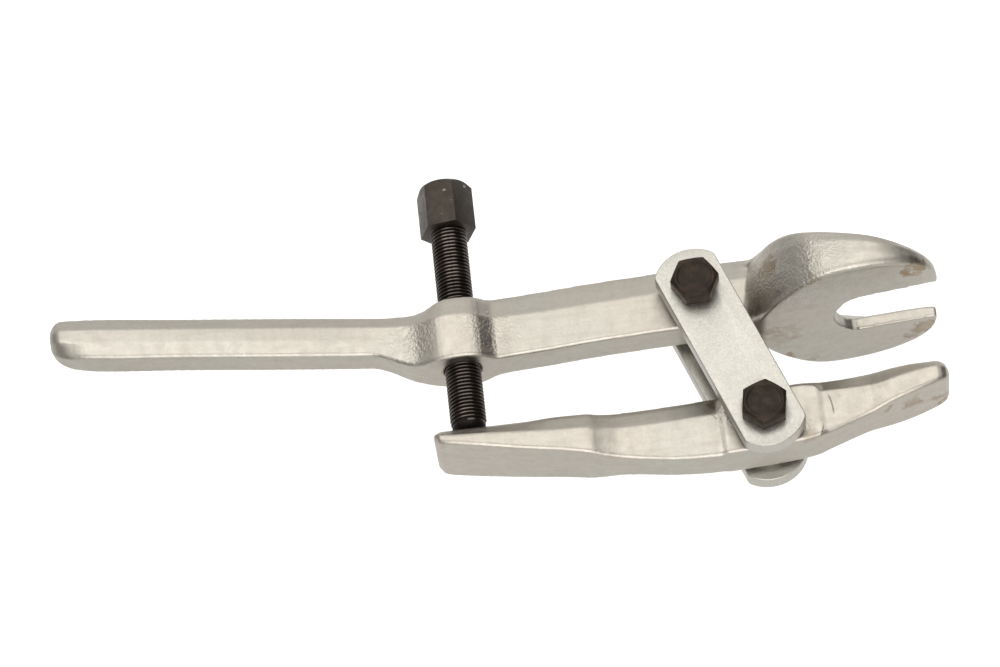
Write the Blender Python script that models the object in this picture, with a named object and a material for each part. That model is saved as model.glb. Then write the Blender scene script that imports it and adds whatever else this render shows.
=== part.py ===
"""Ball joint separator with forcing screw: forged fork lever, forged pressure lever, two link plates,
two pivot bolts with nylon lock nuts, and a forcing screw with a captive ball in its tip.

Design units are millimetres, written to Blender in metres.
Design axes: +X from the handle to the jaws, +Y along the screw towards its hex head,
+Z along the pivot bolts towards their heads.  The screw axis is the design origin.
"""
import math

import bmesh
import bpy

MM = 0.001
SHIFT = (-12.85, -8.6, 37.1)        # design origin -> centre of the underside of the bounding box

GAP = 0.3                           # running clearance between neighbouring pieces

# screw (M14 x 1.5, 19 mm hex)
SCREW_R = 6.9
SCREW_HOLE_R = 7.3
SCREW_TIP_Y = -30.2
HEAD_Y = 56.1
HEAD_H = 20.5
HEAD_AF = 19.0
HEAD_TURN = 10.0
BALL_R = 4.0
BALL_Y = -27.4

# pivots (M10 bolts, 16 mm hex)
UPPER_PIVOT = (90.9, 11.4)
LOWER_PIVOT = (110.5, -43.8)
BOLT_R = 5.0
BOLT_HOLE_R = 5.3
BOLT_AF = 16.0
BOLT_HEAD_H = 6.4
UPPER_BOLT_TURN = 3.0
LOWER_BOLT_TURN = 21.0
NUT_HEX_H = 6.8
NUT_H = 10.0
INSERT_R = 6.2

# link plates
PLATE_IN = 11.3
PLATE_T = 6.5
PLATE_HALF_W = 12.45
PLATE_END_R = 15.6
PLATE_CORNER_R = 3.0
HUB_R = 9.2

# fork slot
SLOT_ROOT_X = 141.5
SLOT_END_X = 190.0

# lever sections, station by station along X:
# x, underside y, side top y, ridge y, side half width, ridge half width
ARM_SECTIONS = (
    (-155.6, 26.2, 31.0, 33.6, 2.6, 1.2),
    (-154.2, 23.6, 31.2, 35.8, 4.2, 1.6),
    (-151.6, 21.2, 31.5, 37.4, 5.6, 2.0),
    (-147.5, 19.5, 31.1, 37.2, 5.9, 2.0),
    (-105.0, 13.8, 25.8, 31.9, 5.9, 2.0),
    (-60.0, 7.9, 20.1, 26.0, 5.9, 2.0),
    (-41.0, 5.5, 17.6, 23.4, 5.9, 2.0),
    (-33.0, 4.5, 16.5, 22.3, 5.9, 2.0),
    (-27.0, 2.0, 15.7, 21.5, 6.0, 2.2),
    (-22.0, -0.9, 15.1, 21.1, 6.3, 2.5),
    (-17.0, -3.0, 14.5, 20.8, 7.3, 3.0),
    (-12.0, -3.6, 14.3, 21.0, 9.6, 5.4),
    (-8.0, -3.7, 14.2, 22.0, 11.4, 8.0),
    (-4.0, -3.7, 14.2, 22.7, 12.3, 9.4),
    (0.0, -3.7, 14.1, 22.8, 12.6, 9.8),
    (4.0, -3.7, 13.8, 22.7, 12.3, 9.4),
    (8.0, -3.7, 13.1, 22.6, 11.0, 8.0),
    (11.0, -3.7, 13.1, 23.0, 8.8, 4.8),
    (14.0, -3.6, 13.2, 23.5, 7.3, 2.8),
    (20.0, -3.2, 13.4, 23.8, 7.0, 2.5),
    (33.0, -2.6, 13.8, 24.4, 7.0, 2.5),
    (51.0, -1.5, 14.5, 25.4, 7.0, 2.5),
    (76.0, -0.7, 15.5, 26.2, 7.0, 2.5),
    (104.0, -0.2, 17.2, 27.4, 7.0, 2.5),
    (118.0, -0.1, 18.0, 27.2, 7.0, 2.5),
)
FINGER_SECTIONS = (
    (-13.0, -37.6, -35.2, -33.4, 11.0, 6.0),
    (-11.0, -39.6, -36.4, -32.0, 13.2, 7.4),
    (-5.0, -40.9, -37.4, -31.9, 13.8, 7.6),
    (8.0, -43.4, -38.0, -31.9, 13.3, 7.4),
    (20.0, -45.6, -38.7, -31.9, 12.6, 7.2),
    (33.0, -47.7, -39.4, -31.6, 12.0, 7.0),
    (44.0, -49.9, -39.6, -31.6, 11.2, 6.4),
    (49.0, -50.9, -39.8, -31.7, 9.6, 4.6),
    (57.0, -52.1, -39.7, -31.4, 7.6, 3.0),
    (67.0, -53.8, -39.4, -31.0, 7.0, 2.5),
    (77.0, -55.2, -39.2, -30.8, 7.0, 2.5),
    (89.0, -56.0, -38.8, -30.2, 7.2, 2.5),
    (93.0, -55.9, -38.6, -30.0, 7.2, 2.5),
    (95.5, -55.8, -33.9, -29.8, 8.2, 2.6),
    (104.0, -55.4, -33.0, -29.4, 8.2, 3.0),
    (112.0, -55.0, -32.4, -28.9, 8.2, 3.2),
    (125.0, -53.9, -31.3, -28.3, 8.2, 3.2),
    (130.5, -52.8, -32.2, -28.6, 8.2, 3.2),
    (133.0, -52.0, -34.6, -28.7, 7.6, 3.0),
    (141.0, -49.2, -34.6, -28.6, 7.5, 3.2),
    (149.0, -46.4, -34.6, -28.4, 7.8, 4.0),
    (155.0, -44.4, -34.9, -28.6, 9.6, 6.0),
    (160.0, -42.9, -34.2, -28.8, 10.8, 8.0),
    (168.0, -40.5, -32.7, -28.5, 11.3, 9.0),
    (176.5, -37.5, -31.6, -28.5, 10.9, 9.0),
    (179.6, -36.2, -31.8, -29.6, 9.4, 7.6),
    (180.6, -35.0, -32.4, -31.2, 7.6, 6.0),
)
# fork blade: x, half width, rim y, centre y
FORK_SECTIONS = (
    (107.0, 6.7, 16.5, 26.6),
    (110.0, 7.8, 19.0, 26.8),
    (112.5, 10.0, 21.4, 27.0),
    (115.0, 13.8, 23.4, 27.0),
    (117.5, 17.8, 24.4, 26.7),
    (120.5, 22.0, 24.6, 25.8),
    (124.5, 26.6, 24.2, 22.7),
    (129.5, 31.2, 22.8, 17.0),
    (135.0, 34.6, 20.7, 10.8),
    (141.0, 36.4, 18.9, 6.2),
    (147.0, 36.9, 17.4, 4.6),
    (153.0, 36.8, 16.0, 4.8),
    (159.0, 36.1, 14.4, 5.1),
    (165.0, 34.6, 12.4, 5.4),
    (171.0, 32.0, 10.2, 5.7),
    (175.0, 29.0, 8.9, 5.9),
    (178.0, 25.6, 7.8, 6.0),
    (180.2, 21.2, 6.9, 6.1),
    (181.3, 16.5, 6.4, 6.1),
)
SLOT_OUTLINE = ((141.5, 0.0), (142.0, 3.6), (143.6, 7.0), (145.8, 10.0), (148.4, 12.0), (151.5, 12.8))
SLOT_END_HALF = 14.0


def fork_underside(x):
    """Height of the flat clamping face at x, easing up to the arm's underside at the neck."""
    neck = min(1.0, max(0.0, (116.0 - x) / 8.0))
    return -2.7 + 0.079 * (x - 115.5) + 2.9 * neck * neck * (3.0 - 2.0 * neck)


def clear_scene():
    for old in list(bpy.data.objects):
        bpy.data.objects.remove(old, do_unlink=True)


def steel(name, colour, metallic, roughness):
    material = bpy.data.materials.new(name)
    material.use_nodes = True
    shader = material.node_tree.nodes["Principled BSDF"]
    shader.inputs["Base Color"].default_value = (*colour, 1.0)
    shader.inputs["Metallic"].default_value = metallic
    shader.inputs["Roughness"].default_value = roughness
    return material


def solid(name, sections, material=None, origin=(0.0, 0.0, 0.0), closed=False):
    """Skin a run of equal-length point loops into one closed body whose origin is at `origin`."""
    mesh = bpy.data.meshes.new(name)
    body = bmesh.new()
    rings = []
    for section in sections:
        ring = []
        for point in section:
            ring.append(body.verts.new([(p - o) * MM for p, o in zip(point, origin)]))
        rings.append(ring)
    count = len(rings[0])
    pairs = list(zip(rings[:-1], rings[1:]))
    if closed:
        pairs.append((rings[-1], rings[0]))
    else:
        body.faces.new(rings[0])
        body.faces.new(rings[-1])
    for first, second in pairs:
        for i in range(count):
            j = (i + 1) % count
            body.faces.new((first[i], first[j], second[j], second[i]))
    bmesh.ops.recalc_face_normals(body, faces=body.faces)
    body.to_mesh(mesh)
    body.free()
    obj = bpy.data.objects.new(name, mesh)
    obj.location = [(o + s) * MM for o, s in zip(origin, SHIFT)]
    bpy.context.scene.collection.objects.link(obj)
    if material:
        mesh.materials.append(material)
    return obj


def ring(radius, height, centre, axis, count=40, turn=0.0):
    """A regular loop of `count` points about a Y or Z axis through `centre` (the other two coordinates)."""
    points = []
    for i in range(count):
        angle = math.radians(turn) + 2.0 * math.pi * i / count
        u = centre[0] + radius * math.cos(angle)
        v = centre[1] + radius * math.sin(angle)
        points.append((u, v, height) if axis == "Z" else (u, height, v))
    return points


def turned(name, profile, centre, axis, material=None, origin=(0.0, 0.0, 0.0), count=40, closed=False):
    """A turned body from (radius, height) pairs."""
    rings = [ring(radius, height, centre, axis, count) for radius, height in profile]
    return solid(name, rings, material, origin, closed)


def hex_bar(name, across_flats, low, high, centre, axis, turn, material=None, origin=(0.0, 0.0, 0.0)):
    radius = across_flats / math.sqrt(3.0)
    rings = [ring(radius, height, centre, axis, 6, turn) for height in (low, high)]
    return solid(name, rings, material, origin)


def boolean(target, tool, operation):
    """Combine a helper body into `target` and hide the helper."""
    modifier = target.modifiers.new(tool.name, "BOOLEAN")
    modifier.operation = operation
    modifier.solver = "EXACT"
    modifier.object = tool
    tool.hide_render = True
    tool.display_type = "WIRE"


def lever_section(x, low, side, top, half_side, half_top, edge=1.0):
    """Flat-bottomed, straight-sided section with long bevels up to a narrow ridge."""
    right = [
        (half_side - edge, low),
        (half_side, low + edge),
        (half_side, side),
        (half_top + 0.3 * (half_side - half_top), side + 0.75 * (top - side)),
        (half_top, top),
    ]
    outline = right + [(-z, y) for z, y in reversed(right)]
    return [(x, y, z) for z, y in outline]


def fork_section(x, half, rim, centre):
    """Flat underside, upright flank with a rounded rim, and a top dished down to the slot."""
    low = fork_underside(x)
    height = rim - low
    right = [
        (half - 1.6, low),
        (half, low + 1.6),
        (half + 0.2, low + 0.35 * height),
        (half - 0.5, low + 0.72 * height),
        (half - 2.0, rim - 0.06 * height),
        (half - 4.2, rim),
        (half * 0.62, centre + 0.45 * (rim - centre)),
        (half * 0.34, centre),
    ]
    outline = right + [(-z, y) for z, y in reversed(right)]
    return [(x, y, z) for z, y in outline]


def fork_lever(material):
    lever = solid("fork_lever", [lever_section(*row) for row in ARM_SECTIONS], material)
    blade = solid("fork_blade", [fork_section(*row) for row in FORK_SECTIONS])
    boolean(lever, blade, "UNION")
    hub = turned("upper_hub", [(HUB_R, -PLATE_IN + GAP), (HUB_R, PLATE_IN - GAP)], UPPER_PIVOT, "Z")
    boolean(lever, hub, "UNION")
    slot_plan = list(SLOT_OUTLINE) + [(SLOT_END_X, SLOT_END_HALF)]
    slot_plan += [(x, -z) for x, z in reversed(slot_plan[1:])]
    slot = solid("fork_slot", [[(x, y, z) for x, z in slot_plan] for y in (-20.0, 45.0)])
    boolean(lever, slot, "DIFFERENCE")
    pin = turned("upper_pin_hole", [(BOLT_HOLE_R, -20.0), (BOLT_HOLE_R, 20.0)], UPPER_PIVOT, "Z")
    boolean(lever, pin, "DIFFERENCE")
    bore = turned("screw_bore", [(SCREW_HOLE_R, -15.0), (SCREW_HOLE_R, 40.0)], (0.0, 0.0), "Y")
    boolean(lever, bore, "DIFFERENCE")
    return lever


def pressure_lever(material):
    origin = (*LOWER_PIVOT, 0.0)
    lever = solid("pressure_lever", [lever_section(*row) for row in FINGER_SECTIONS], material, origin)
    hub = turned("lower_hub", [(HUB_R, -PLATE_IN + GAP), (HUB_R, PLATE_IN - GAP)], LOWER_PIVOT, "Z")
    boolean(lever, hub, "UNION")
    pin = turned("lower_pin_hole", [(BOLT_HOLE_R, -20.0), (BOLT_HOLE_R, 20.0)], LOWER_PIVOT, "Z")
    boolean(lever, pin, "DIFFERENCE")
    return lever


def plate_outline():
    """Strap with parallel edges and large end arcs about both pivots, corners eased."""
    run = (LOWER_PIVOT[0] - UPPER_PIVOT[0], LOWER_PIVOT[1] - UPPER_PIVOT[1])
    length = math.hypot(*run)
    ux, uy = run[0] / length, run[1] / length
    inner = PLATE_HALF_W - PLATE_CORNER_R
    reach = math.sqrt((PLATE_END_R - PLATE_CORNER_R) ** 2 - inner ** 2)
    corner = math.atan2(inner, reach)
    arc = []
    for i in range(5):
        angle = math.pi / 2 - (math.pi / 2 - corner) * i / 4
        arc.append((reach + PLATE_CORNER_R * math.cos(angle), inner + PLATE_CORNER_R * math.sin(angle)))
    for i in range(1, 12):
        angle = corner * (1 - i / 6)
        arc.append((PLATE_END_R * math.cos(angle), PLATE_END_R * math.sin(angle)))
    arc += [(a, -b) for a, b in reversed(arc[:5])]
    outline = [(length + a, b) for a, b in arc] + [(-a, -b) for a, b in arc]
    return [(UPPER_PIVOT[0] + a * ux - b * uy, UPPER_PIVOT[1] + a * uy + b * ux) for a, b in outline]


def link_plate(name, low, material):
    outline = plate_outline()
    sections = [[(x, y, z) for x, y in outline] for z in (low, low + PLATE_T)]
    plate = solid(name, sections, material, (*UPPER_PIVOT, 0.0))
    for label, pivot in (("upper", UPPER_PIVOT), ("lower", LOWER_PIVOT)):
        profile = [(BOLT_HOLE_R, low - 5.0), (BOLT_HOLE_R, low + PLATE_T + 5.0)]
        boolean(plate, turned(name + "_" + label + "_hole", profile, pivot, "Z"), "DIFFERENCE")
    return plate


def pivot_bolt(label, pivot, turn, material):
    """Hex bolt: 30 degree chamfer on the head, shank through both plates and the lock nut."""
    seat = PLATE_IN + PLATE_T + GAP
    origin = (*pivot, 0.0)
    top = seat + BOLT_HEAD_H
    end = -(PLATE_IN + PLATE_T + GAP + NUT_H + 2.0)
    corner = BOLT_AF / math.sqrt(3.0)
    bolt = hex_bar(label + "_pivot_bolt", BOLT_AF, seat, top, pivot, "Z", turn, material, origin)
    chamfer = [(corner + 2.0, seat - 1.0), (corner + 2.0, top - 2.0), (0.475 * BOLT_AF - 0.3, top + 0.05)]
    face = turned(label + "_bolt_chamfer", chamfer, pivot, "Z", origin=origin)
    boolean(bolt, face, "INTERSECT")
    profile = [(BOLT_R - 0.8, end), (BOLT_R, end + 0.8), (BOLT_R, seat + 1.0)]
    boolean(bolt, turned(label + "_bolt_shank", profile, pivot, "Z", origin=origin), "UNION")
    return bolt


def lock_nut(label, pivot, turn, material):
    """Hex nut with a round collar; the collar holds the nylon ring in a groove."""
    seat = -(PLATE_IN + PLATE_T + GAP)
    origin = (*pivot, 0.0)
    corner = BOLT_AF / math.sqrt(3.0)
    nut = hex_bar(label + "_lock_nut", BOLT_AF, seat - NUT_HEX_H, seat, pivot, "Z", turn, material, origin)
    chamfer = [(7.4, seat - NUT_HEX_H - 0.05), (corner + 1.0, seat - NUT_HEX_H + 1.6), (corner + 1.0, seat + 1.0)]
    boolean(nut, turned(label + "_nut_chamfer", chamfer, pivot, "Z", origin=origin), "INTERSECT")
    collar = [(6.4, seat - NUT_H), (7.4, seat - NUT_H + 1.0), (7.4, seat - NUT_HEX_H + 0.5)]
    boolean(nut, turned(label + "_nut_collar", collar, pivot, "Z", origin=origin), "UNION")
    groove = INSERT_R + GAP
    cut = [
        (BOLT_HOLE_R, seat + 1.0),
        (BOLT_HOLE_R, seat - NUT_HEX_H),
        (groove, seat - NUT_HEX_H),
        (groove, seat - NUT_H + 0.8),
        (BOLT_HOLE_R + 0.2, seat - NUT_H + 0.8),
        (BOLT_HOLE_R + 0.2, seat - NUT_H - 1.0),
    ]
    boolean(nut, turned(label + "_nut_bore", cut, pivot, "Z", origin=origin), "DIFFERENCE")
    return nut


def nut_insert(label, pivot, material):
    """Nylon locking ring inside the nut collar."""
    seat = -(PLATE_IN + PLATE_T + GAP)
    low = seat - NUT_H + 0.8 + GAP
    high = seat - NUT_HEX_H - GAP
    profile = [(BOLT_HOLE_R, low), (INSERT_R, low), (INSERT_R, high), (BOLT_HOLE_R, high)]
    return turned(label + "_nut_insert", profile, pivot, "Z", material, (*pivot, 0.0), closed=True)


def pressure_screw(material):
    """Forcing screw: tall hex head with a domed, chamfered top, shank, and a pocket for the ball."""
    centre = (0.0, 0.0)
    top = HEAD_Y + HEAD_H
    corner = HEAD_AF / math.sqrt(3.0)
    screw = hex_bar("pressure_screw", HEAD_AF, HEAD_Y, top, centre, "Y", HEAD_TURN, material)
    dome = [(corner + 2.0, HEAD_Y - 1.0), (corner + 2.0, top - 3.4), (9.0, top - 1.3), (6.6, top - 0.3), (3.0, top)]
    boolean(screw, turned("head_dome", dome, centre, "Y"), "INTERSECT")
    shank = [(4.4, SCREW_TIP_Y), (6.4, SCREW_TIP_Y + 1.8), (SCREW_R, SCREW_TIP_Y + 2.4), (SCREW_R, HEAD_Y + 1.0)]
    boolean(screw, turned("screw_shank", shank, centre, "Y"), "UNION")
    pocket = ball_profile(BALL_R + GAP)
    boolean(screw, turned("ball_pocket", pocket, centre, "Y", count=24), "DIFFERENCE")
    return screw


def ball_profile(radius):
    """(radius, height) pairs of a ball with tiny flats at its poles."""
    profile = []
    for i in range(13):
        angle = math.radians(-86.0 + 172.0 * i / 12)
        profile.append((radius * math.cos(angle), BALL_Y + radius * math.sin(angle)))
    return profile


def build():
    clear_scene()
    forging = steel("forged_steel", (0.52, 0.50, 0.46), 1.0, 0.42)
    plated = steel("zinc_plated_steel", (0.62, 0.62, 0.60), 1.0, 0.45)
    oxide = steel("black_oxide_steel", (0.030, 0.026, 0.023), 0.8, 0.40)
    ball_steel = steel("ball_steel", (0.60, 0.60, 0.60), 1.0, 0.15)
    nylon = steel("nylon", (0.75, 0.75, 0.72), 0.0, 0.5)
    fork_lever(forging)
    pressure_lever(forging)
    link_plate("front_link_plate", PLATE_IN, plated)
    link_plate("rear_link_plate", -PLATE_IN - PLATE_T, plated)
    pivots = (("upper", UPPER_PIVOT, UPPER_BOLT_TURN), ("lower", LOWER_PIVOT, LOWER_BOLT_TURN))
    for label, pivot, turn in pivots:
        pivot_bolt(label, pivot, turn, oxide)
        lock_nut(label, pivot, turn, oxide)
        nut_insert(label, pivot, nylon)
    pressure_screw(oxide)
    turned("tip_ball", ball_profile(BALL_R), (0.0, 0.0), "Y", ball_steel, (0.0, BALL_Y, 0.0), count=24)


build()
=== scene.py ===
"""Detailed scene of the ball joint separator.

It hangs fine meshes and finishes on the CAD bodies, and adds the table, the lights and the camera.
Design units are millimetres, as in the part: +X from the handle to the jaws, +Y along the screw towards
its head, +Z along the pivot bolts towards their heads, with the design origin on the screw's axis.
"""

import math

import bmesh
import bpy
from mathutils import Matrix, Vector


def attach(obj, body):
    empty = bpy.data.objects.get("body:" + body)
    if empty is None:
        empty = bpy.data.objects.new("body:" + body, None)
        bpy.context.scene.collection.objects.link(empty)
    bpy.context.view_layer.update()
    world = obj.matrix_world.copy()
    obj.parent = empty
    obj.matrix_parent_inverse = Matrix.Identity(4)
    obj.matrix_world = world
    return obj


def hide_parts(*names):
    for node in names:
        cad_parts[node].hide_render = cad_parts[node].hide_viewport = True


MM = 0.001
SHIFT = (-12.85, -8.6, 37.1)        # puts the origin under the middle of the tool
THROUGH = 20.0                      # half length of a cutter that passes right through a lever
CUT_MARGIN = 1.0                    # how far a cutter runs past the face that it opens

# forgings
VOXEL = 0.5
EASE_ROUNDS = 3
FILLET_ROUNDS = 20
GROWTH = 0.2                        # regained after the smoothing
LOW_EDGE = 0.8                      # bevel along a lever's underside
SIDE_CREST = 0.45                   # parting line along the handle's sides

# screw
PITCH = 1.5                         # of the M14 x 1.5 screw, and of the M10 bolts too
SCREW_R = 6.9
ROOT_R = 6.05
SCREW_HOLE_R = 7.1                  # before the forging's growth
SCREW_MOUTH_R = 7.6
THREAD_LOW_Y = -28.3
SCREW_TIP_Y = -30.2
HEAD_Y = 56.1
HEAD_H = 20.5
HEAD_AF = 19.0
HEAD_TURN = 10.0
BALL_R = 4.0
BALL_Y = -27.4

# pivots
UPPER_PIVOT = (90.9, 11.4)
LOWER_PIVOT = (110.5, -43.8)
BOLT_R = 5.0
BOLT_HOLE_R = 5.3
BOLT_AF = 16.0
BOLT_HEAD_H = 6.4
BOLT_FACE_R = 7.3
THREAD_DEPTH = 0.75
NUT_BORE_R = 5.05
NUT_COLLAR_R = 7.4
UPPER_BOLT_TURN = 3.0
LOWER_BOLT_TURN = 21.0
NUT_HEX_H = 6.8
NUT_H = 10.0
INSERT_R = 6.2

# link plates
PLATE_IN = 11.3
PLATE_T = 6.5
PLATE_HALF_W = 12.45
PLATE_END_R = 15.6
PLATE_CORNER_R = 3.0
HUB_R = 9.2
GAP = 0.3                           # running clearance between neighbouring pieces
SEAT_GAP = 0.05                     # hairline under bolt heads and nuts

# lever sections: x, underside y, side top y, ridge y, side half width, ridge half width
ARM_SECTIONS = (
    (-155.4, 26.2, 31.0, 33.6, 2.6, 1.2),
    (-154.2, 23.6, 31.2, 35.8, 4.2, 1.6),
    (-151.6, 21.2, 31.5, 37.4, 5.6, 2.0),
    (-147.5, 19.5, 31.1, 37.2, 5.9, 2.0),
    (-105.0, 13.8, 25.8, 31.9, 5.9, 2.0),
    (-60.0, 7.9, 20.1, 26.0, 5.9, 2.0),
    (-41.0, 5.5, 17.6, 23.4, 5.9, 2.0),
    (-33.0, 4.5, 16.5, 22.3, 5.9, 2.0),
    (-27.0, 2.0, 15.7, 21.5, 6.0, 2.2),
    (-22.0, -0.9, 15.1, 21.1, 6.3, 2.5),
    (-17.0, -3.0, 14.5, 20.8, 7.3, 3.0),
    (-12.0, -3.6, 14.3, 21.0, 9.6, 5.4),
    (-8.0, -3.7, 14.2, 22.0, 11.4, 8.0),
    (-4.0, -3.7, 14.2, 22.7, 12.3, 9.4),
    (0.0, -3.7, 14.1, 22.8, 12.6, 9.8),
    (4.0, -3.7, 13.8, 22.7, 12.3, 9.4),
    (8.0, -3.7, 13.1, 22.6, 11.0, 8.0),
    (11.0, -3.7, 13.1, 23.0, 8.8, 4.8),
    (14.0, -3.6, 13.2, 23.5, 7.3, 2.8),
    (20.0, -3.2, 13.4, 23.8, 7.0, 2.5),
    (33.0, -2.6, 13.8, 24.4, 7.0, 2.5),
    (51.0, -1.5, 14.5, 25.4, 7.0, 2.5),
    (76.0, -0.7, 15.5, 26.2, 7.0, 2.5),
    (104.0, -0.2, 17.2, 27.4, 7.0, 2.5),
    (118.0, -0.1, 18.0, 27.2, 7.0, 2.5),
)
LEVER_SECTIONS = (
    (-13.0, -37.6, -35.2, -33.4, 11.0, 6.0),
    (-11.0, -39.6, -36.4, -32.3, 13.2, 7.4),
    (-5.0, -40.9, -37.4, -32.3, 13.8, 7.6),
    (8.0, -43.4, -38.0, -32.3, 13.3, 7.4),
    (20.0, -45.6, -38.7, -32.2, 12.6, 7.2),
    (33.0, -47.7, -39.4, -31.6, 12.0, 7.0),
    (44.0, -49.9, -39.6, -31.6, 11.2, 6.4),
    (49.0, -50.9, -39.8, -31.7, 9.6, 4.6),
    (57.0, -52.1, -39.7, -31.4, 7.6, 3.0),
    (67.0, -53.8, -39.4, -31.0, 7.0, 2.5),
    (77.0, -55.2, -39.2, -30.8, 7.0, 2.5),
    (89.0, -55.9, -38.8, -30.2, 7.2, 2.5),
    (93.0, -55.9, -38.6, -30.0, 7.2, 2.5),
    (95.5, -55.8, -33.9, -29.8, 8.2, 2.6),
    (104.0, -55.4, -33.0, -29.4, 8.2, 3.0),
    (112.0, -55.0, -32.4, -28.9, 8.2, 3.2),
    (125.0, -53.9, -31.3, -28.3, 8.2, 3.2),
    (130.5, -52.8, -32.2, -28.6, 8.2, 3.2),
    (133.0, -52.0, -34.6, -28.7, 7.6, 3.0),
    (141.0, -49.2, -34.6, -28.6, 7.5, 3.2),
    (149.0, -46.4, -34.6, -28.4, 7.8, 4.0),
    (155.0, -44.4, -34.9, -28.6, 9.6, 6.0),
    (160.0, -42.9, -34.2, -28.8, 10.8, 8.0),
    (168.0, -40.5, -32.7, -28.5, 11.3, 9.0),
    (176.5, -37.5, -31.6, -28.5, 10.9, 9.0),
    (179.6, -36.2, -31.8, -29.6, 9.4, 7.6),
    (180.6, -35.0, -32.4, -31.2, 7.6, 6.0),
)
# fork blade sections: x, half width, rim y, centre y
FORK_SECTIONS = (
    (107.0, 6.7, 16.5, 26.6),
    (110.0, 7.8, 19.0, 26.8),
    (112.5, 10.0, 21.4, 27.0),
    (115.0, 13.8, 23.4, 27.0),
    (117.5, 17.8, 24.4, 26.7),
    (120.5, 22.0, 24.6, 25.8),
    (124.5, 26.6, 24.2, 22.7),
    (129.5, 31.2, 22.8, 17.0),
    (135.0, 34.6, 20.7, 10.8),
    (141.0, 36.4, 18.9, 6.2),
    (147.0, 36.9, 17.4, 4.6),
    (153.0, 36.8, 16.0, 4.8),
    (159.0, 36.1, 14.4, 5.1),
    (165.0, 34.6, 12.4, 5.4),
    (171.0, 32.0, 10.2, 5.7),
    (175.0, 29.0, 8.9, 5.9),
    (178.0, 25.6, 7.8, 6.0),
    (180.2, 21.2, 6.9, 6.1),
    (181.1, 16.5, 6.4, 6.1),
)
# half of the fork's slot seen along Y, as (x, z) from its root to where it runs straight
SLOT_OUTLINE = ((141.5, 0.0), (142.0, 3.6), (143.6, 7.0), (145.8, 10.0), (148.4, 12.0), (151.5, 12.8))
SLOT_END_X = 190.0
SLOT_END_HALF = 14.0


# ---------------------------------------------------------------- geometry

def metres(point):
    """Design millimetres to scene metres."""
    return [(p + s) * MM for p, s in zip(point, SHIFT)]


def add_object(name, data):
    obj = bpy.data.objects.new(name, data)
    bpy.context.scene.collection.objects.link(obj)
    return obj


def solid(name, sections, material=None, closed=False):
    """Skin a run of equal-length point loops (design millimetres) into one closed body."""
    mesh = bpy.data.meshes.new(name)
    body = bmesh.new()
    rings = []
    for section in sections:
        rings.append([body.verts.new(metres(point)) for point in section])
    count = len(rings[0])
    pairs = list(zip(rings[:-1], rings[1:]))
    if closed:
        pairs.append((rings[-1], rings[0]))
    else:
        body.faces.new(rings[0])
        body.faces.new(rings[-1])
    for first, second in pairs:
        for i in range(count):
            j = (i + 1) % count
            body.faces.new((first[i], first[j], second[j], second[i]))
    bmesh.ops.recalc_face_normals(body, faces=body.faces)
    body.to_mesh(mesh)
    body.free()
    if material:
        mesh.materials.append(material)
    return add_object(name, mesh)


def ring(radius, height, centre, axis, count=48, turn=0.0):
    """Points round an axis along Z, with centre (x, y), or along Y, with centre (x, z)."""
    points = []
    for i in range(count):
        angle = math.radians(turn) + 2.0 * math.pi * i / count
        u = centre[0] + radius * math.cos(angle)
        v = centre[1] + radius * math.sin(angle)
        points.append((u, v, height) if axis == "Z" else (u, height, v))
    return points


def turned(name, profile, centre, axis, material=None, count=48, closed=False):
    """Turn (radius, height) pairs round an axis; a closed profile makes a ring."""
    rings = [ring(radius, height, centre, axis, count) for radius, height in profile]
    return solid(name, rings, material, closed)


def corner_radius(across_flats):
    return across_flats / math.sqrt(3.0)


def hex_bar(name, across_flats, low, high, centre, axis, turn, material=None):
    rings = [ring(corner_radius(across_flats), height, centre, axis, 6, turn) for height in (low, high)]
    return solid(name, rings, material)


def boolean(target, tool, operation):
    modifier = target.modifiers.new(tool.name, "BOOLEAN")
    modifier.operation = operation
    modifier.solver = "EXACT"
    modifier.object = tool
    return tool


def bake(obj, helpers=()):
    """Apply the modifiers of `obj` and delete its helper bodies."""
    bpy.context.view_layer.update()
    evaluated = obj.evaluated_get(bpy.context.evaluated_depsgraph_get())
    mesh = bpy.data.meshes.new_from_object(evaluated)
    old = obj.data
    obj.modifiers.clear()
    obj.data = mesh
    bpy.data.meshes.remove(old)
    for helper in helpers:
        bpy.data.objects.remove(helper, do_unlink=True)
    return obj


def shade(obj, angle=35.0):
    """Smooth shading with edges sharper than `angle` kept crisp."""
    mesh = obj.data
    mesh.polygons.foreach_set("use_smooth", [True] * len(mesh.polygons))
    mesh.set_sharp_from_angle(angle=math.radians(angle))
    return obj


def soften(obj, width, segments=3, angle=30.0):
    bevel = obj.modifiers.new("edges", "BEVEL")
    bevel.width = width * MM
    bevel.segments = segments
    bevel.limit_method = "ANGLE"
    bevel.angle_limit = math.radians(angle)
    return obj


def forge(obj, helpers, fillets):
    """Melt the joined bodies into one forging with eased edges, and deeper fillets near some points."""
    remesh = obj.modifiers.new("skin", "REMESH")
    remesh.mode = "VOXEL"
    remesh.voxel_size = VOXEL * MM * 1.0
    remesh.use_smooth_shade = True
    bake(obj, helpers)
    group = obj.vertex_groups.new(name="fillets")
    for vertex in obj.data.vertices:
        weight = 0.0
        for point, inner, outer in fillets:
            away = (vertex.co - Vector(metres(point))).length / MM
            weight = max(weight, min(1.0, (outer - away) / (outer - inner)))
        if weight > 0.0:
            group.add([vertex.index], weight, "REPLACE")
    for label, rounds, limit in (("ease", EASE_ROUNDS, ""), ("fillet", FILLET_ROUNDS, "fillets")):
        relax = obj.modifiers.new(label, "SMOOTH")
        relax.factor = 0.5
        relax.iterations = rounds
        relax.vertex_group = limit
    grow = obj.modifiers.new("grow", "DISPLACE")
    grow.strength = GROWTH * MM
    grow.mid_level = 0.0
    bake(obj)
    obj.vertex_groups.clear()
    return obj


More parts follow.
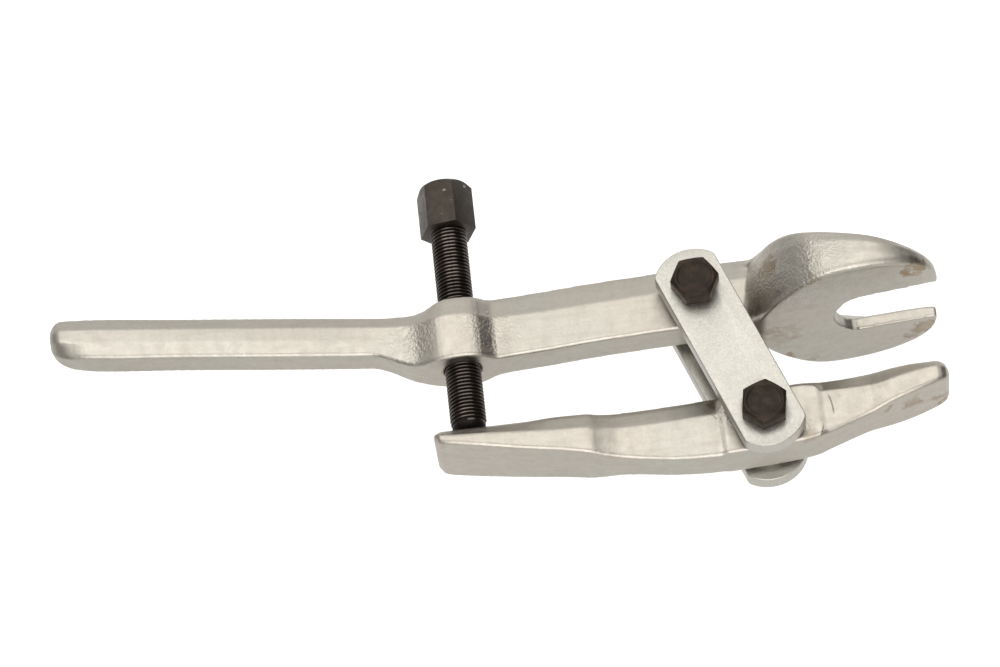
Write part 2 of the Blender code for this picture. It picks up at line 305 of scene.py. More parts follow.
def refine(rows, step):
    """Resample section rows along X with a shape-preserving cubic."""
    slopes = []
    for i, row in enumerate(rows):
        if i in (0, len(rows) - 1):
            slopes.append([0.0] * len(row))
            continue
        before, after = rows[i - 1], rows[i + 1]
        slope = []
        for a, b, c in zip(before, row, after):
            left = (b - a) / (row[0] - before[0])
            right = (c - b) / (after[0] - row[0])
            slope.append(0.0 if left * right <= 0 else 2.0 * left * right / (left + right))
        slopes.append(slope)
    for i, j in ((0, 1), (-1, -2)):
        run = rows[j][0] - rows[i][0]
        slopes[i] = [(b - a) / run for a, b in zip(rows[i], rows[j])]
    fine = []
    for i in range(len(rows) - 1):
        a, b = rows[i], rows[i + 1]
        run = b[0] - a[0]
        count = max(1, int(math.ceil(run / step)))
        for k in range(count):
            t = k / count
            h00 = 2 * t ** 3 - 3 * t ** 2 + 1
            h10 = t ** 3 - 2 * t ** 2 + t
            h01 = -2 * t ** 3 + 3 * t ** 2
            h11 = t ** 3 - t ** 2
            row = []
            for p, q, m, n in zip(a, b, slopes[i], slopes[i + 1]):
                row.append(h00 * p + h10 * run * m + h01 * q + h11 * run * n)
            row[0] = a[0] + t * run
            fine.append(row)
    fine.append(list(rows[-1]))
    return fine


def mirrored(x, right):
    """Whole section at `x` from its (z, y) points on the +Z side."""
    outline = right + [(-z, y) for z, y in reversed(right)]
    return [(x, y, z) for z, y in outline]


def clamp(value):
    return min(1.0, max(0.0, value))


def lever_section(x, low, side, top, half_side, half_top):
    """Flat underside and long bevels to a ridge; the handle has crested sides and a tucked-in end."""
    crest = SIDE_CREST * clamp((-30.0 - x) / 20.0) * min(1.0, half_side / 5.9)
    tuck = 1.0 - 0.55 * clamp((-140.0 - x) / 15.0) ** 1.5
    right = [
        ((half_side - LOW_EDGE) * tuck, low),
        (half_side * tuck, low + LOW_EDGE),
        (half_side + crest, 0.5 * (low + side)),
        (half_side, side),
        (half_top + 0.3 * (half_side - half_top), side + 0.75 * (top - side)),
        (half_top, top),
    ]
    return mirrored(x, right)


def fork_section(x, half, rim, centre):
    """Dished top between rounded rims, over a flat underside that climbs into the neck."""
    neck = clamp((116.0 - x) / 8.0)
    low = -2.7 + 0.079 * (x - 115.5) + 2.9 * neck * neck * (3.0 - 2.0 * neck)
    height = rim - low
    ease = min(1.0, height / 9.0)
    right = [
        (half - 2.2 * ease, low),
        (half - 0.7 * ease, low + 0.6 * ease),
        (half - 0.1, low + 2.0 * ease),
        (half, low + 0.35 * height),
        (half - 0.5, low + 0.72 * height),
        (half - 2.0, rim - 0.06 * height),
        (half - 4.2, rim),
        (half * 0.62, centre + 0.45 * (rim - centre)),
        (half * 0.34, centre),
    ]
    return mirrored(x, right)


# ---------------------------------------------------------------- finishes

class Finish:
    """Small helper round a node tree with a Principled shader."""

    def __init__(self, name):
        self.material = bpy.data.materials.new(name)
        self.material.use_nodes = True
        self.nodes = self.material.node_tree.nodes
        self.links = self.material.node_tree.links
        self.shader = self.nodes["Principled BSDF"]
        self.place = self.nodes.new("ShaderNodeTexCoord").outputs["Object"]

    def set(self, **values):
        for key, value in values.items():
            self.shader.inputs[key.replace("_", " ")].default_value = value

    def noise(self, scale, detail=4.0, rough=0.55, stretch=None):
        node = self.nodes.new("ShaderNodeTexNoise")
        node.inputs["Scale"].default_value = scale
        node.inputs["Detail"].default_value = detail
        node.inputs["Roughness"].default_value = rough
        source = self.place
        if stretch:
            mapping = self.nodes.new("ShaderNodeMapping")
            mapping.inputs["Scale"].default_value = stretch
            self.links.new(self.place, mapping.inputs["Vector"])
            source = mapping.outputs["Vector"]
        self.links.new(source, node.inputs["Vector"])
        return node.outputs["Fac"]

    def spread(self, value, low, high, to_low=0.0, to_high=1.0):
        node = self.nodes.new("ShaderNodeMapRange")
        node.interpolation_type = "SMOOTHSTEP"
        limits = {"From Min": low, "From Max": high, "To Min": to_low, "To Max": to_high}
        for key, number in limits.items():
            node.inputs[key].default_value = number
        self.links.new(value, node.inputs["Value"])
        return node.outputs["Result"]

    def math(self, operation, a, b):
        node = self.nodes.new("ShaderNodeMath")
        node.operation = operation
        for socket, value in zip(node.inputs, (a, b)):
            if isinstance(value, (int, float)):
                socket.default_value = value
            else:
                self.links.new(value, socket)
        return node.outputs["Value"]

    def near(self, point, inner, outer):
        """1 within `inner` mm of a design point, fading to 0 at `outer` mm."""
        node = self.nodes.new("ShaderNodeVectorMath")
        node.operation = "DISTANCE"
        self.links.new(self.place, node.inputs[0])
        node.inputs[1].default_value = metres(point)
        return self.spread(node.outputs["Value"], inner * MM, outer * MM, 1.0, 0.0)

    def arc(self, centre, radius):
        """Thin line at `radius` mm round an axis along Z through a design (x, y)."""
        flat = self.nodes.new("ShaderNodeVectorMath")
        flat.operation = "MULTIPLY"
        flat.inputs[1].default_value = (1.0, 1.0, 0.0)
        self.links.new(self.place, flat.inputs[0])
        node = self.nodes.new("ShaderNodeVectorMath")
        node.operation = "DISTANCE"
        node.inputs[1].default_value = metres(centre) + [0.0]
        self.links.new(flat.outputs["Vector"], node.inputs[0])
        away = self.math("ABSOLUTE", self.math("SUBTRACT", node.outputs["Value"], radius * MM), 0.0)
        return self.spread(away, 0.15 * MM, 0.45 * MM, 1.0, 0.0)

    def mix(self, factor, a, b):
        node = self.nodes.new("ShaderNodeMix")
        node.data_type = "RGBA"
        self.links.new(factor, node.inputs[0])
        for socket, value in ((node.inputs[6], a), (node.inputs[7], b)):
            if isinstance(value, tuple):
                socket.default_value = (*value, 1.0)
            else:
                self.links.new(value, socket)
        return node.outputs[2]

    def over(self, base, mask, amount, colour):
        """`colour` laid over `base` where `mask` is 1, at most by `amount`."""
        return self.mix(self.math("MULTIPLY", mask, amount), base, colour)

    def colour(self, value):
        self.links.new(value, self.shader.inputs["Base Color"])

    def rough(self, scale, detail, low, high):
        """Roughness that drifts between `low` and `high`."""
        value = self.spread(self.noise(scale, detail), 0.3, 0.7, low, high)
        self.links.new(value, self.shader.inputs["Roughness"])

    def bumps(self, *layers):
        """Stack bump layers given as (height, distance in mm, strength or socket)."""
        last = None
        for height, distance, strength in layers:
            node = self.nodes.new("ShaderNodeBump")
            node.inputs["Distance"].default_value = distance * MM
            if isinstance(strength, (int, float)):
                node.inputs["Strength"].default_value = strength
            else:
                self.links.new(strength, node.inputs["Strength"])
            self.links.new(height, node.inputs["Height"])
            if last:
                self.links.new(last, node.inputs["Normal"])
            last = node.outputs["Normal"]
        self.links.new(last, self.shader.inputs["Normal"])


def forging_finish(name, stains, blasted, marks=()):
    """Satin plated forging, streaked both ways and finely grained.

    Stains are (point, inner, outer, depth) and blasted zones (point, inner, outer): full within `inner` mm
    of the point and gone at `outer` mm. Marks are (centre, radius, point, reach): a thin dark arc drawn
    round `centre`, seen within `reach` mm of the point.
    """
    finish = Finish(name)
    finish.set(Metallic=1.0)
    patches = finish.spread(finish.noise(26.0, 3.0, 0.5, (1.0, 0.5, 1.0)), 0.38, 0.62)
    base = finish.mix(patches, (0.424, 0.394, 0.350), (0.415, 0.403, 0.360))
    rosy = finish.spread(finish.noise(38.0, 3.0, 0.55), 0.52, 0.66)
    across = finish.spread(finish.noise(420.0, 5.0, 0.65, (1.0, 0.14, 1.0)), 0.40, 0.72)
    along = finish.spread(finish.noise(330.0, 5.0, 0.7, (0.10, 1.0, 1.0)), 0.42, 0.68)
    grain = finish.spread(finish.noise(950.0, 2.0, 0.7), 0.35, 0.65)
    dirt = finish.spread(finish.noise(160.0, 6.0, 0.75), 0.60, 0.74)
    layers = (
        (rosy, 0.35, (0.430, 0.385, 0.360)),
        (across, 0.17, (0.27, 0.245, 0.205)),
        (along, 0.22, (0.29, 0.262, 0.222)),
        (grain, 0.22, (0.315, 0.290, 0.255)),
        (dirt, 0.25, (0.25, 0.215, 0.16)),
    )
    for mask, amount, colour in layers:
        base = finish.over(base, mask, amount, colour)
    ragged = finish.spread(finish.noise(300.0, 6.0, 0.7), 0.36, 0.64)
    wash = finish.spread(finish.noise(120.0, 3.0, 0.6), 0.35, 0.65, 0.45, 1.0)
    for point, inner, outer, depth in stains:
        spot = finish.near(point, inner, outer)
        spot = finish.math("ADD", spot, finish.math("MULTIPLY", ragged, 0.85))
        spot = finish.math("MULTIPLY", finish.spread(spot, 0.98, 1.30), wash)
        base = finish.over(base, spot, depth, (0.215, 0.150, 0.080))
    for centre, radius, point, reach in marks:
        seen = finish.near(point, reach - 2.0, reach)
        line = finish.math("MULTIPLY", finish.arc(centre, radius), seen)
        base = finish.over(base, line, 0.75, (0.10, 0.09, 0.075))
    finish.colour(base)
    grit = None
    for point, inner, outer in blasted:
        spot = finish.near(point, inner, outer)
        grit = spot if grit is None else finish.math("MAXIMUM", grit, spot)
    fine = finish.noise(1400.0, 3.0, 0.6)
    coarse = finish.noise(110.0, 3.0, 0.5, (1.0, 0.6, 1.0))
    dimples = finish.noise(880.0, 2.0, 0.5)
    strength = finish.math("ADD", finish.math("MULTIPLY", grit, 0.90), 0.08)
    finish.rough(260.0, 3.0, 0.32, 0.42)
    finish.bumps((coarse, 0.30, 0.18), (fine, 0.08, 0.5), (dimples, 0.28, strength))
    return finish.material


def plate_finish():
    """Fine matte plating with an even sparkle and a little yellowing."""
    finish = Finish("zinc_plate")
    finish.set(Metallic=1.0)
    grain = finish.spread(finish.noise(1500.0, 3.0, 0.7), 0.30, 0.70)
    base = finish.mix(grain, (0.385, 0.374, 0.338), (0.480, 0.470, 0.434))
    tone = finish.spread(finish.noise(40.0, 3.0), 0.35, 0.65)
    finish.colour(finish.over(base, tone, 0.15, (0.435, 0.418, 0.365)))
    finish.rough(900.0, 4.0, 0.36, 0.44)
    finish.bumps((finish.noise(1300.0, 3.0, 0.6), 0.10, 0.55), (finish.noise(90.0), 0.15, 0.06))
    return finish.material


def oxide_finish(name, base, brown, roughness, metallic=0.3, level=0.25, specks=0.0):
    """Black oxide: near-black steel with brown bloom and, where `specks` is set, a few rubbed specks."""
    finish = Finish(name)
    finish.set(Metallic=metallic, IOR=1.5)
    finish.shader.inputs["Specular IOR Level"].default_value = level
    finish.shader.inputs["Specular Tint"].default_value = (1.0, 0.87, 0.74, 1.0)
    bloom = finish.spread(finish.noise(190.0, 4.0, 0.6), 0.42, 0.68)
    colour = finish.mix(bloom, base, brown)
    if specks:
        rubbed = finish.spread(finish.noise(330.0, 2.0, 0.5), 0.735, 0.76, 0.0, specks)
        colour = finish.mix(rubbed, colour, (0.34, 0.30, 0.25))
    finish.colour(colour)
    finish.rough(350.0, 3.0, roughness - 0.06, roughness + 0.1)
    finish.bumps((finish.noise(300.0, 4.0, 0.7), 0.16, 0.5), (finish.noise(900.0, 3.0, 0.6), 0.10, 0.5))
    return finish.material


def thread_finish(name, dark, light, metallic, level, roughness):
    """Oiled thread, whether its flanks, darkened with painted valley shade, or its rubbed bright crests.
    """
    finish = Finish(name)
    finish.set(Metallic=metallic, IOR=1.5)
    finish.shader.inputs["Specular IOR Level"].default_value = level
    bloom = finish.spread(finish.noise(150.0, 3.0), 0.4, 0.65)
    finish.colour(finish.mix(bloom, dark, light))
    finish.rough(300.0, 3.0, roughness - 0.05, roughness + 0.08)
    finish.bumps((finish.noise(700.0, 2.0), 0.05, 0.3))
    return finish.material


def plain_finish(name, colour, metallic, roughness):
    """One colour with a slight mottle."""
    finish = Finish(name)
    finish.set(Metallic=metallic, Roughness=roughness)
    darker = tuple(0.9 * channel for channel in colour)
    mottle = finish.spread(finish.noise(400.0), 0.4, 0.6)
    finish.colour(finish.mix(mottle, colour, darker))
    return finish.material


# ---------------------------------------------------------------- pieces

def pivot_eye(lever, label, pivot):
    """Join the hub that fills the space between the plates, and bore its pin hole."""
    hub = turned(label + "_hub", [(HUB_R, -PLATE_IN + GAP), (HUB_R, PLATE_IN - GAP)], pivot, "Z")
    pin = turned(label + "_pin_hole", [(BOLT_HOLE_R, -THROUGH), (BOLT_HOLE_R, THROUGH)], pivot, "Z")
    return [boolean(lever, hub, "UNION"), boolean(lever, pin, "DIFFERENCE")]


def fork_lever(material):
    arm = [lever_section(*row) for row in refine(ARM_SECTIONS, 2.0)]
    lever = solid("fork_lever", arm, material)
    blade = solid("fork_blade", [fork_section(*row) for row in refine(FORK_SECTIONS, 1.5)])
    slot_plan = list(SLOT_OUTLINE) + [(SLOT_END_X, SLOT_END_HALF)]
    slot_plan += [(x, -z) for x, z in reversed(slot_plan[1:])]
    slot = solid("fork_slot", [[(x, y, z) for x, z in slot_plan] for y in (-20.0, 45.0)])
    boolean(blade, slot, "DIFFERENCE")
    bake(blade, [slot])
    helpers = [boolean(lever, blade, "UNION")] + pivot_eye(lever, "upper", UPPER_PIVOT)
    bore = [(SCREW_MOUTH_R, -15.0), (SCREW_MOUTH_R, -3.5), (SCREW_HOLE_R, -3.0), (SCREW_HOLE_R, 40.0)]
    helpers.append(boolean(lever, turned("screw_bore", bore, (0.0, 0.0), "Y"), "DIFFERENCE"))
    fillets = []                    # (point, full within mm, none beyond mm)
    for side in (-1.0, 1.0):
        fillets.append(((114.0, 12.0, 9.0 * side), 5.0, 10.0))
        fillets.append(((112.5, 20.5, 7.0 * side), 5.0, 9.0))
        fillets.append(((126.0, 6.0, 30.0 * side), 9.0, 17.0))
    return forge(lever, helpers, fillets)


def pressure_lever(material):
    sections = [lever_section(*row) for row in refine(LEVER_SECTIONS, 2.0)]
    lever = solid("pressure_lever", sections, material)
    fillets = (((47.0, -38.0, 8.0), 2.0, 5.0),)
    return forge(lever, pivot_eye(lever, "lower", LOWER_PIVOT), fillets)


def plate_outline():
    """Straight sides along the line of the pivots, closed by large arcs with rounded corners."""
    corner_steps = 8
    end_steps = 14
    run = (LOWER_PIVOT[0] - UPPER_PIVOT[0], LOWER_PIVOT[1] - UPPER_PIVOT[1])
    length = math.hypot(*run)
    ux, uy = run[0] / length, run[1] / length
    inner = PLATE_HALF_W - PLATE_CORNER_R
    reach = math.sqrt((PLATE_END_R - PLATE_CORNER_R) ** 2 - inner ** 2)
    corner = math.atan2(inner, reach)
    arc = []
    for i in range(corner_steps + 1):
        angle = math.pi / 2 - (math.pi / 2 - corner) * i / corner_steps
        arc.append((reach + PLATE_CORNER_R * math.cos(angle), inner + PLATE_CORNER_R * math.sin(angle)))
    for i in range(1, 2 * end_steps):
        angle = corner * (1 - i / end_steps)
        arc.append((PLATE_END_R * math.cos(angle), PLATE_END_R * math.sin(angle)))
    arc += [(a, -b) for a, b in reversed(arc[:corner_steps + 1])]
    outline = [(length + a, b) for a, b in arc] + [(-a, -b) for a, b in arc]
    return [(UPPER_PIVOT[0] + a * ux - b * uy, UPPER_PIVOT[1] + a * uy + b * ux) for a, b in outline]


def link_plate(name, low, material):
    outline = plate_outline()
    plate = solid(name, [[(x, y, z) for x, y in outline] for z in (low, low + PLATE_T)], material)
    helpers = []
    for pivot in (UPPER_PIVOT, LOWER_PIVOT):
        profile = [(BOLT_HOLE_R, low - CUT_MARGIN), (BOLT_HOLE_R, low + PLATE_T + CUT_MARGIN)]
        helpers.append(boolean(plate, turned("plate_hole", profile, pivot, "Z"), "DIFFERENCE"))
    bake(plate, helpers)
    soften(plate, 0.45)
    return shade(bake(plate))


def pivot_bolt(label, pivot, turn, material):
    """Chamfered and dished hex head over the front plate, and the shank through to the nut."""
    seat = PLATE_IN + PLATE_T + SEAT_GAP
    top = PLATE_IN + PLATE_T + GAP + BOLT_HEAD_H
    outside = corner_radius(BOLT_AF) + 2.0
    bolt = hex_bar(label + "_bolt", BOLT_AF, seat, top, pivot, "Z", turn, material)
    chamfer = [(outside, seat - CUT_MARGIN), (outside, top - 2.0), (BOLT_FACE_R, top)]
    helpers = [boolean(bolt, turned("chamfer", chamfer, pivot, "Z", count=96), "INTERSECT")]
    dish = [(6.7, top + CUT_MARGIN), (6.7, top - 0.02), (5.9, top - 0.35), (0.4, top - 0.45)]
    helpers.append(boolean(bolt, turned("dish", dish, pivot, "Z", count=96), "DIFFERENCE"))
    bake(bolt, helpers)
    soften(bolt, 0.18, 2, 25.0)
    bake(bolt)
    shade(bolt, 40.0)
    end = -(PLATE_IN + PLATE_T + GAP + NUT_H + 2.0)
    profile = threaded(end, -PLATE_IN - PLATE_T, seat + 1.0)
    shank = turned(label + "_bolt_shank", profile, pivot, "Z", material)
    shade(shank, 50.0)
    return bolt, shank


def threaded(end, thread_top, top):
    """(radius, height) pairs of an M10 shank, with grooves from `end` to `thread_top` for its thread."""
    root = BOLT_R - THREAD_DEPTH
    profile = [(BOLT_R - 1.0, end), (BOLT_R - 0.7, end + 0.4)]
    height = end + 0.6
    while height < thread_top:
        profile += [(root, height), (BOLT_R, height + 0.6), (BOLT_R, height + 0.8), (root, height + 1.4)]
        height += PITCH
    profile += [(BOLT_R, height + 0.3), (BOLT_R, top)]
    return profile


def lock_nut(label, pivot, turn, material):
    """Chamfered hex with the round collar that holds the nylon ring."""
    seat = -(PLATE_IN + PLATE_T + SEAT_GAP)
    low = -(PLATE_IN + PLATE_T + GAP) - NUT_HEX_H
    outside = corner_radius(BOLT_AF) + 1.0
    nut = hex_bar(label + "_nut", BOLT_AF, low, seat, pivot, "Z", turn, material)
    chamfer = [(NUT_COLLAR_R, low - 0.05), (outside, low + 1.6), (outside, seat + CUT_MARGIN)]
    helpers = [boolean(nut, turned("chamfer", chamfer, pivot, "Z", count=96), "INTERSECT")]
    end = low + NUT_HEX_H - NUT_H
    collar = [(6.2, end), (7.0, end + 0.35), (NUT_COLLAR_R, end + 1.1), (NUT_COLLAR_R, low + 0.5)]
    helpers.append(boolean(nut, turned("collar", collar, pivot, "Z", count=96), "UNION"))
    groove_r = 6.5
    lip_r = 5.6
    cut = [
        (NUT_BORE_R, seat + CUT_MARGIN), (NUT_BORE_R, low),
        (groove_r, low), (groove_r, end + 0.8),
        (lip_r, end + 0.8), (lip_r, end - CUT_MARGIN),
    ]
    helpers.append(boolean(nut, turned("bore", cut, pivot, "Z", count=64), "DIFFERENCE"))
    bake(nut, helpers)
    soften(nut, 0.15, 2, 25.0)
    bake(nut)
    return shade(nut, 40.0)


def nut_insert(label, pivot, material):
    end = -(PLATE_IN + PLATE_T + GAP) - NUT_H
    low, high = end + 1.1, end + NUT_H - NUT_HEX_H - 0.3
    profile = [(NUT_BORE_R, low), (INSERT_R, low), (INSERT_R, high), (NUT_BORE_R, high)]
    return shade(turned(label + "_insert", profile, pivot, "Z", material, closed=True))


def screw_head(material):
    """Tall hex with a domed top."""
    top = HEAD_Y + HEAD_H
    outside = corner_radius(HEAD_AF) + 2.0
    head = hex_bar("screw_head", HEAD_AF, HEAD_Y, top, (0.0, 0.0), "Y", HEAD_TURN, material)
    dome = [
        (outside, HEAD_Y - CUT_MARGIN), (outside, top - 3.9), (10.6, top - 2.6), (9.6, top - 1.5),
        (8.4, top - 0.8), (6.6, top - 0.3), (3.0, top),
    ]
    helpers = [boolean(head, turned("dome", dome, (0.0, 0.0), "Y", count=96), "INTERSECT")]
    bake(head, helpers)
    soften(head, 0.45, 3, 25.0)
    bake(head)
    return shade(head, 30.0)


def screw_thread(flank, crest):
    """Right-handed M14 x 1.5 thread from the tip's shoulder into the head."""
    shoulder_r = SCREW_R - 0.16
    crest_r = SCREW_R - 0.02
    profile = (
        (ROOT_R, 0.0), (ROOT_R, 0.16), (shoulder_r, 0.56), (crest_r, 0.70),
        (crest_r, 0.96), (shoulder_r, 1.10), (ROOT_R, PITCH),
    )
    crest_strips = (2, 3, 4)        # the strips between shoulder and shoulder
    start_r = ROOT_R + 0.3          # the first turn rises from here
    per_turn = 48
    turns = (HEAD_Y + 1.0 - THREAD_LOW_Y) / PITCH
    steps = int(turns * per_turn)
    body = bmesh.new()
    rows = []
    for i in range(steps + 1):
        angle = 2.0 * math.pi * i / per_turn
        lift = THREAD_LOW_Y + PITCH * i / per_turn
        fade = min(1.0, i / (1.2 * per_turn))
        row = []
        for radius, offset in profile:
            r = start_r + (radius - start_r) * fade
            row.append(body.verts.new(metres((r * math.sin(angle), lift + offset, r * math.cos(angle)))))
        rows.append(row)
    for first, second in zip(rows[:-1], rows[1:]):
        for j in range(len(first) - 1):
            face = body.faces.new((first[j], second[j], second[j + 1], first[j + 1]))
            face.material_index = 1 if j in crest_strips else 0
    bmesh.ops.remove_doubles(body, verts=body.verts, dist=0.02 * MM)
    bmesh.ops.recalc_face_normals(body, faces=body.faces)
    mesh = bpy.data.meshes.new("screw_thread")
    body.to_mesh(mesh)
    body.free()
    mesh.materials.append(flank)
    mesh.materials.append(crest)
    return shade(add_object("screw_thread", mesh), 24.0)


def screw_tip(material):
    """Smooth turned end that holds the captive ball."""
    profile = [
        (ROOT_R, THREAD_LOW_Y + 1.8), (6.3, THREAD_LOW_Y + 0.4),
        (6.4, SCREW_TIP_Y + 1.8), (6.2, SCREW_TIP_Y + 1.4),
        (4.8, SCREW_TIP_Y + 0.1), (4.5, SCREW_TIP_Y), (3.2, SCREW_TIP_Y),
    ]
    socket_r = BALL_R + 0.2
    steps = 8
    for i in range(steps + 1):
        angle = math.radians(-38.0 + 123.0 * i / steps)
        profile.append((socket_r * math.cos(angle), BALL_Y + socket_r * math.sin(angle)))
    tip = turned("screw_tip", profile, (0.0, 0.0), "Y", material)
    return shade(tip, 40.0)


def tip_ball(material):
    profile = []
    steps = 24
    for i in range(steps + 1):
        angle = math.radians(-88.0 + 176.0 * i / steps)
        profile.append((BALL_R * math.cos(angle), BALL_Y + BALL_R * math.sin(angle)))
    return shade(turned("ball", profile, (0.0, 0.0), "Y", material), 60.0)


def fit(obj, body, node):
    """Hang a finished piece on its body, in place of a CAD node."""
    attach(obj, body)
    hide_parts(node)


# ---------------------------------------------------------------- setting

def area_light(name, location, target, size, power, colour):
    data = bpy.data.lights.new(name, "AREA")
    data.shape = "RECTANGLE"
    data.size, data.size_y = size
    data.energy = power
    data.color = colour
    light = add_object(name, data)
    light.location = location
    direction = Vector(target) - Vector(location)
    light.rotation_euler = direction.to_track_quat("-Z", "Y").to_euler()


def lobe(nodes, links, direction, start, full):
    """Smooth patch of the surround around a direction, from cosine `start` to cosine `full`."""
    place = nodes.new("ShaderNodeTexCoord").outputs["Generated"]
    node = nodes.new("ShaderNodeVectorMath")
    node.operation = "DOT_PRODUCT"
    node.inputs[1].default_value = Vector(direction).normalized()
    links.new(place, node.inputs[0])
    ramp = nodes.new("ShaderNodeMapRange")
    ramp.interpolation_type = "SMOOTHSTEP"
    ramp.inputs["From Min"].default_value = start
    ramp.inputs["From Max"].default_value = full
    links.new(node.outputs["Value"], ramp.inputs["Value"])
    return ramp.outputs["Result"]


def surround():
    """Dim room: lit backdrop behind the table, bright panels above its front, dark right side."""
    ambient = 0.32
    world = bpy.data.worlds.new("surround")
    bpy.context.scene.world = world
    world.use_nodes = True
    nodes, links = world.node_tree.nodes, world.node_tree.links
    total = None
    # direction, cosine where the patch starts, cosine where it is full, strength
    patches = (
        ((0.0, 1.0, 0.10), 0.55, 0.92, 0.85),
        ((0.0, -0.62, 0.78), 0.80, 0.95, 1.9),
        ((0.0, 0.15, 1.0), 0.55, 0.90, 0.55),
        ((-1.0, 0.1, 0.25), 0.75, 0.97, 0.15),
        ((0.0, -0.90, 0.42), 0.84, 0.97, 1.5),
        ((1.0, 0.40, 0.15), 0.60, 0.92, -0.24),
    )
    for direction, start, full, strength in patches:
        node = nodes.new("ShaderNodeMath")
        node.operation = "MULTIPLY_ADD"
        links.new(lobe(nodes, links, direction, start, full), node.inputs[0])
        node.inputs[1].default_value = strength
        node.inputs[2].default_value = ambient
        if total:
            links.new(total, node.inputs[2])
        total = node.outputs["Value"]
    background = nodes["Background"]
    background.inputs["Color"].default_value = (1.0, 0.985, 0.96, 1.0)
    links.new(total, background.inputs["Strength"])


def table():
    """White table that looks evenly lit, while the light it sheds falls off away from the tool."""
    mesh = bpy.data.meshes.new("floor")
    half = 4.0
    corners = [(-half, -half, 0.0), (half, -half, 0.0), (half, half, 0.0), (-half, half, 0.0)]
    mesh.from_pydata(corners, [], [(0, 1, 2, 3)])
    floor = add_object("floor", mesh)
    finish = Finish("white_table")
    mesh.materials.append(finish.material)
    finish.set(Roughness=0.9)
    finish.shader.inputs["Base Color"].default_value = (0.22, 0.22, 0.22, 1.0)
    finish.shader.inputs["Emission Color"].default_value = (1.0, 0.99, 0.97, 1.0)
    distance = finish.nodes.new("ShaderNodeVectorMath")
    distance.operation = "DISTANCE"
    distance.inputs[1].default_value = (0.16, -0.10, 0.0)
    finish.links.new(finish.place, distance.inputs[0])
    falloff = finish.spread(distance.outputs["Value"], 0.10, 0.95, 0.86, 0.22)
    seen = finish.nodes.new("ShaderNodeLightPath").outputs["Is Camera Ray"]
    glow = finish.nodes.new("ShaderNodeMix")
    finish.links.new(seen, glow.inputs[0])
    finish.links.new(falloff, glow.inputs[2])
    glow.inputs[3].default_value = 1.0
    finish.links.new(glow.outputs[0], finish.shader.inputs["Emission Strength"])


def setting():
    surround()
    table()
    warm = (1.0, 0.985, 0.95)
    aim = (0.0, 0.0, 0.03)
    size = (0.70, 0.85)
    area_light("overhead_left", (-0.42, 0.50, 1.15), aim, size, 3.4, warm)
    area_light("overhead_right", (0.40, 0.50, 1.15), aim, size, 2.9, warm)


def camera():
    """Long lens looking down at the tool from the front."""
    data = bpy.data.cameras.new("camera")
    data.sensor_width = 36.0
    data.lens = 184.8
    data.clip_start = 0.1
    data.clip_end = 20.0
    eye = add_object("camera", data)
    distance = 1.949
    back = Vector((0.0205, -0.4707, 0.8821)).normalized()
    right = Vector((0.9923, -0.0979, -0.0753))
    right = (right - right.dot(back) * back).normalized()
    up = back.cross(right)
    rotation = Matrix((right, up, back)).transposed().to_4x4()
    target = Vector(metres((15.47, 10.31, 0.0)))
    eye.matrix_world = Matrix.Translation(target + distance * back) @ rotation
    bpy.context.scene.camera = eye


def forgings():
    """Finishes of the two levers, with their own stains and blasted zones."""
    fork_stains = (
        ((172.5, 1.8, 26.5), 3.0, 7.5, 0.9),
        ((176.8, 2.2, -20.0), 3.0, 8.0, 0.9),
        ((172.0, 1.8, -25.0), 1.0, 6.0, 0.8),
        ((131.0, -1.5, -32.0), 2.0, 9.0, 0.8),
        ((122.0, -2.2, -24.0), 1.0, 7.0, 0.7),
        ((121.0, -2.0, -4.0), 3.0, 15.0, 0.45),
        ((118.0, 14.0, 20.0), 2.0, 9.0, 0.7),
        ((135.0, -1.0, 33.0), 0.5, 6.0, 0.45),
    )
    lever_stains = (
        ((166.0, -41.0, 3.0), 2.0, 8.0, 0.6),
        ((157.0, -43.0, 4.0), 0.5, 6.0, 0.6),
        ((178.0, -36.5, -4.0), 1.0, 8.0, 0.6),
        ((92.0, -32.0, 6.0), 1.0, 7.0, 0.7),
        ((126.0, -53.0, 8.0), 1.0, 6.0, 0.5),
    )
    fork_blast = (
        ((-19.0, 8.0, 9.0), 6.0, 13.0),
        ((13.0, 8.0, 11.0), 8.0, 14.0),
        ((128.0, 8.0, 34.0), 16.0, 26.0),
        ((117.0, 12.0, 14.0), 6.0, 12.0),
    )
    lever_blast = (((96.0, -40.0, 9.0), 3.0, 8.0), ((124.0, -46.0, 9.0), 2.0, 7.0))
    lever_marks = (
        (LOWER_PIVOT, 25.6, (134.3, -40.6, 8.0), 5.0),
        (LOWER_PIVOT, 21.8, (129.6, -50.4, 8.0), 3.5),
    )
    fork_finish = forging_finish("fork_forging", fork_stains, fork_blast)
    lever_finish = forging_finish("lever_forging", lever_stains, lever_blast, lever_marks)
    return fork_finish, lever_finish


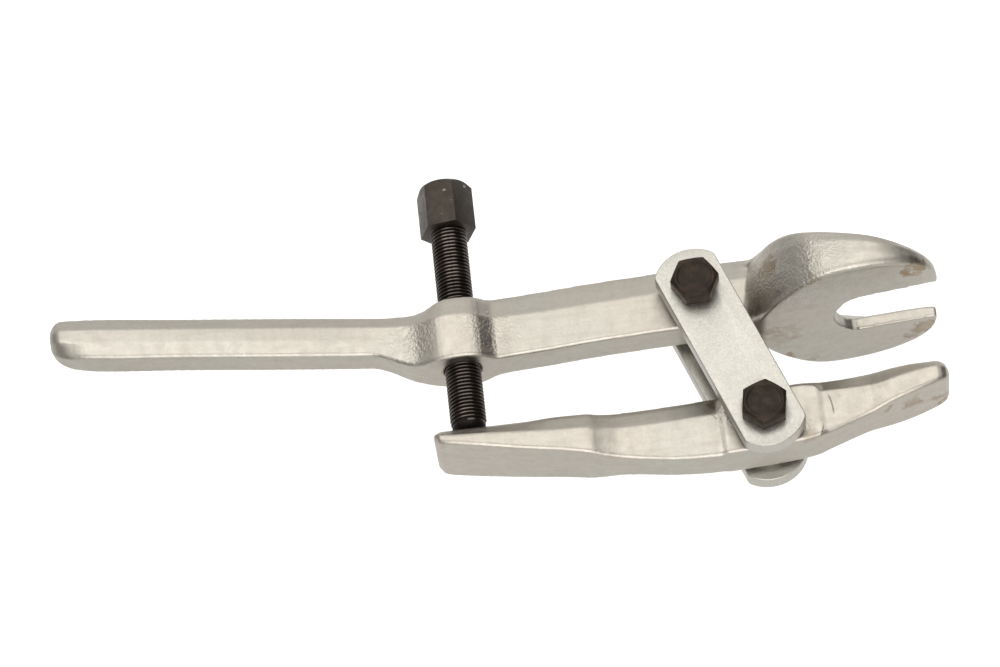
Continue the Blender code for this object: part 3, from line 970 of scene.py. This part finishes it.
def build():
    fork_forging, lever_forging = forgings()
    plated = plate_finish()
    bolt_oxide = oxide_finish("bolt_oxide", (0.012, 0.009, 0.007), (0.031, 0.020, 0.014), 0.34)
    head_oxide = oxide_finish(
        "head_oxide", (0.008, 0.006, 0.0045), (0.013, 0.0085, 0.0055), 0.38,
        metallic=0.0, level=0.46, specks=0.6,
    )
    # near black: partly the oil on the oxide, partly painted shade of the thread's valleys on the flanks
    oiled_oxide_and_painted_shade = thread_finish(
        "thread_oxide_and_painted_shade", (0.0045, 0.003, 0.0022), (0.011, 0.007, 0.005),
        metallic=0.0, level=0.12, roughness=0.40,
    )
    crest_oxide = thread_finish(
        "thread_crest", (0.080, 0.068, 0.058), (0.135, 0.116, 0.100),
        metallic=1.0, level=0.5, roughness=0.17,
    )
    ball_steel = plain_finish("ball_steel", (0.60, 0.60, 0.60), 1.0, 0.15)
    nylon = plain_finish("nylon", (0.70, 0.72, 0.72), 0.0, 0.5)
    fit(fork_lever(fork_forging), "fork", "fork_lever")
    fit(pressure_lever(lever_forging), "lever", "pressure_lever")
    fit(link_plate("front_plate", PLATE_IN, plated), "link", "front_link_plate")
    fit(link_plate("rear_plate", -PLATE_IN - PLATE_T, plated), "link", "rear_link_plate")
    pivots = (
        ("upper", UPPER_PIVOT, UPPER_BOLT_TURN, "link"),
        ("lower", LOWER_PIVOT, LOWER_BOLT_TURN, "lower_pin"),
    )
    for label, pivot, turn, body in pivots:
        for piece in pivot_bolt(label, pivot, turn, bolt_oxide):
            fit(piece, body, label + "_pivot_bolt")
        fit(lock_nut(label, pivot, turn, bolt_oxide), body, label + "_lock_nut")
        fit(nut_insert(label, pivot, nylon), body, label + "_nut_insert")
    screw = (screw_head(head_oxide), screw_thread(oiled_oxide_and_painted_shade, crest_oxide), screw_tip(oiled_oxide_and_painted_shade))
    for piece in screw:
        fit(piece, "screw", "pressure_screw")
    fit(tip_ball(ball_steel), "screw_tip", "tip_ball")


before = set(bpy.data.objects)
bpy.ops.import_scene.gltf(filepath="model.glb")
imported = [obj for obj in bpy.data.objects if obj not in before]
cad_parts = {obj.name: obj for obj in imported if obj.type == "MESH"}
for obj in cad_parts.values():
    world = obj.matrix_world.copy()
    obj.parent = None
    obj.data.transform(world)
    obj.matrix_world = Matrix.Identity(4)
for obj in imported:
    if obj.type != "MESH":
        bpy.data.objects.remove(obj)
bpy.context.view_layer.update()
build()
setting()
camera()
bpy.context.scene.view_settings.view_transform = "Standard"
